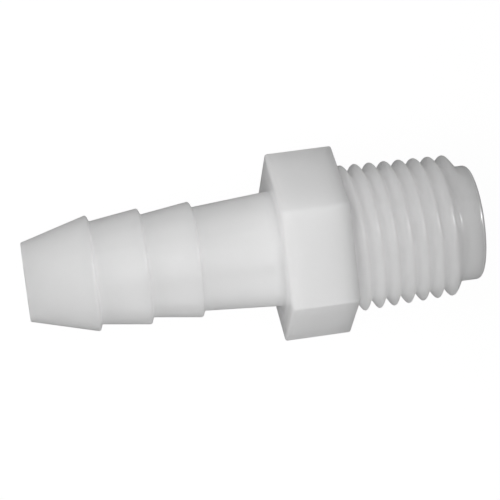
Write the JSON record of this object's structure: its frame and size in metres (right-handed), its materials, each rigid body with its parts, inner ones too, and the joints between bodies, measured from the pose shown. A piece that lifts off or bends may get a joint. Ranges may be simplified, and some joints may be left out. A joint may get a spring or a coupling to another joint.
{
  "type": "hose barb pipe thread adapter",
  "caption": "White nylon hose adapter for a thru hull: barbed hose tail, hexagonal wrench collar and male taper pipe thread around one straight bore.",
  "frame": {"origin": "on the flow axis, in the wrench collar's thread-side face", "axes": "+X along the flow axis from the hose tail to the threaded end, +Z square to a flat of the hexagon"},
  "size_m": [0.0427, 0.018, 0.0156],
  "materials": {
    "nylon": "natural white moulded nylon, slightly translucent, satin gloss"
  },
  "bodies": {
    "root": {"hose_tail": "nylon", "hex_collar": "nylon", "pipe_thread": "nylon"}
  },
  "joints": []
}
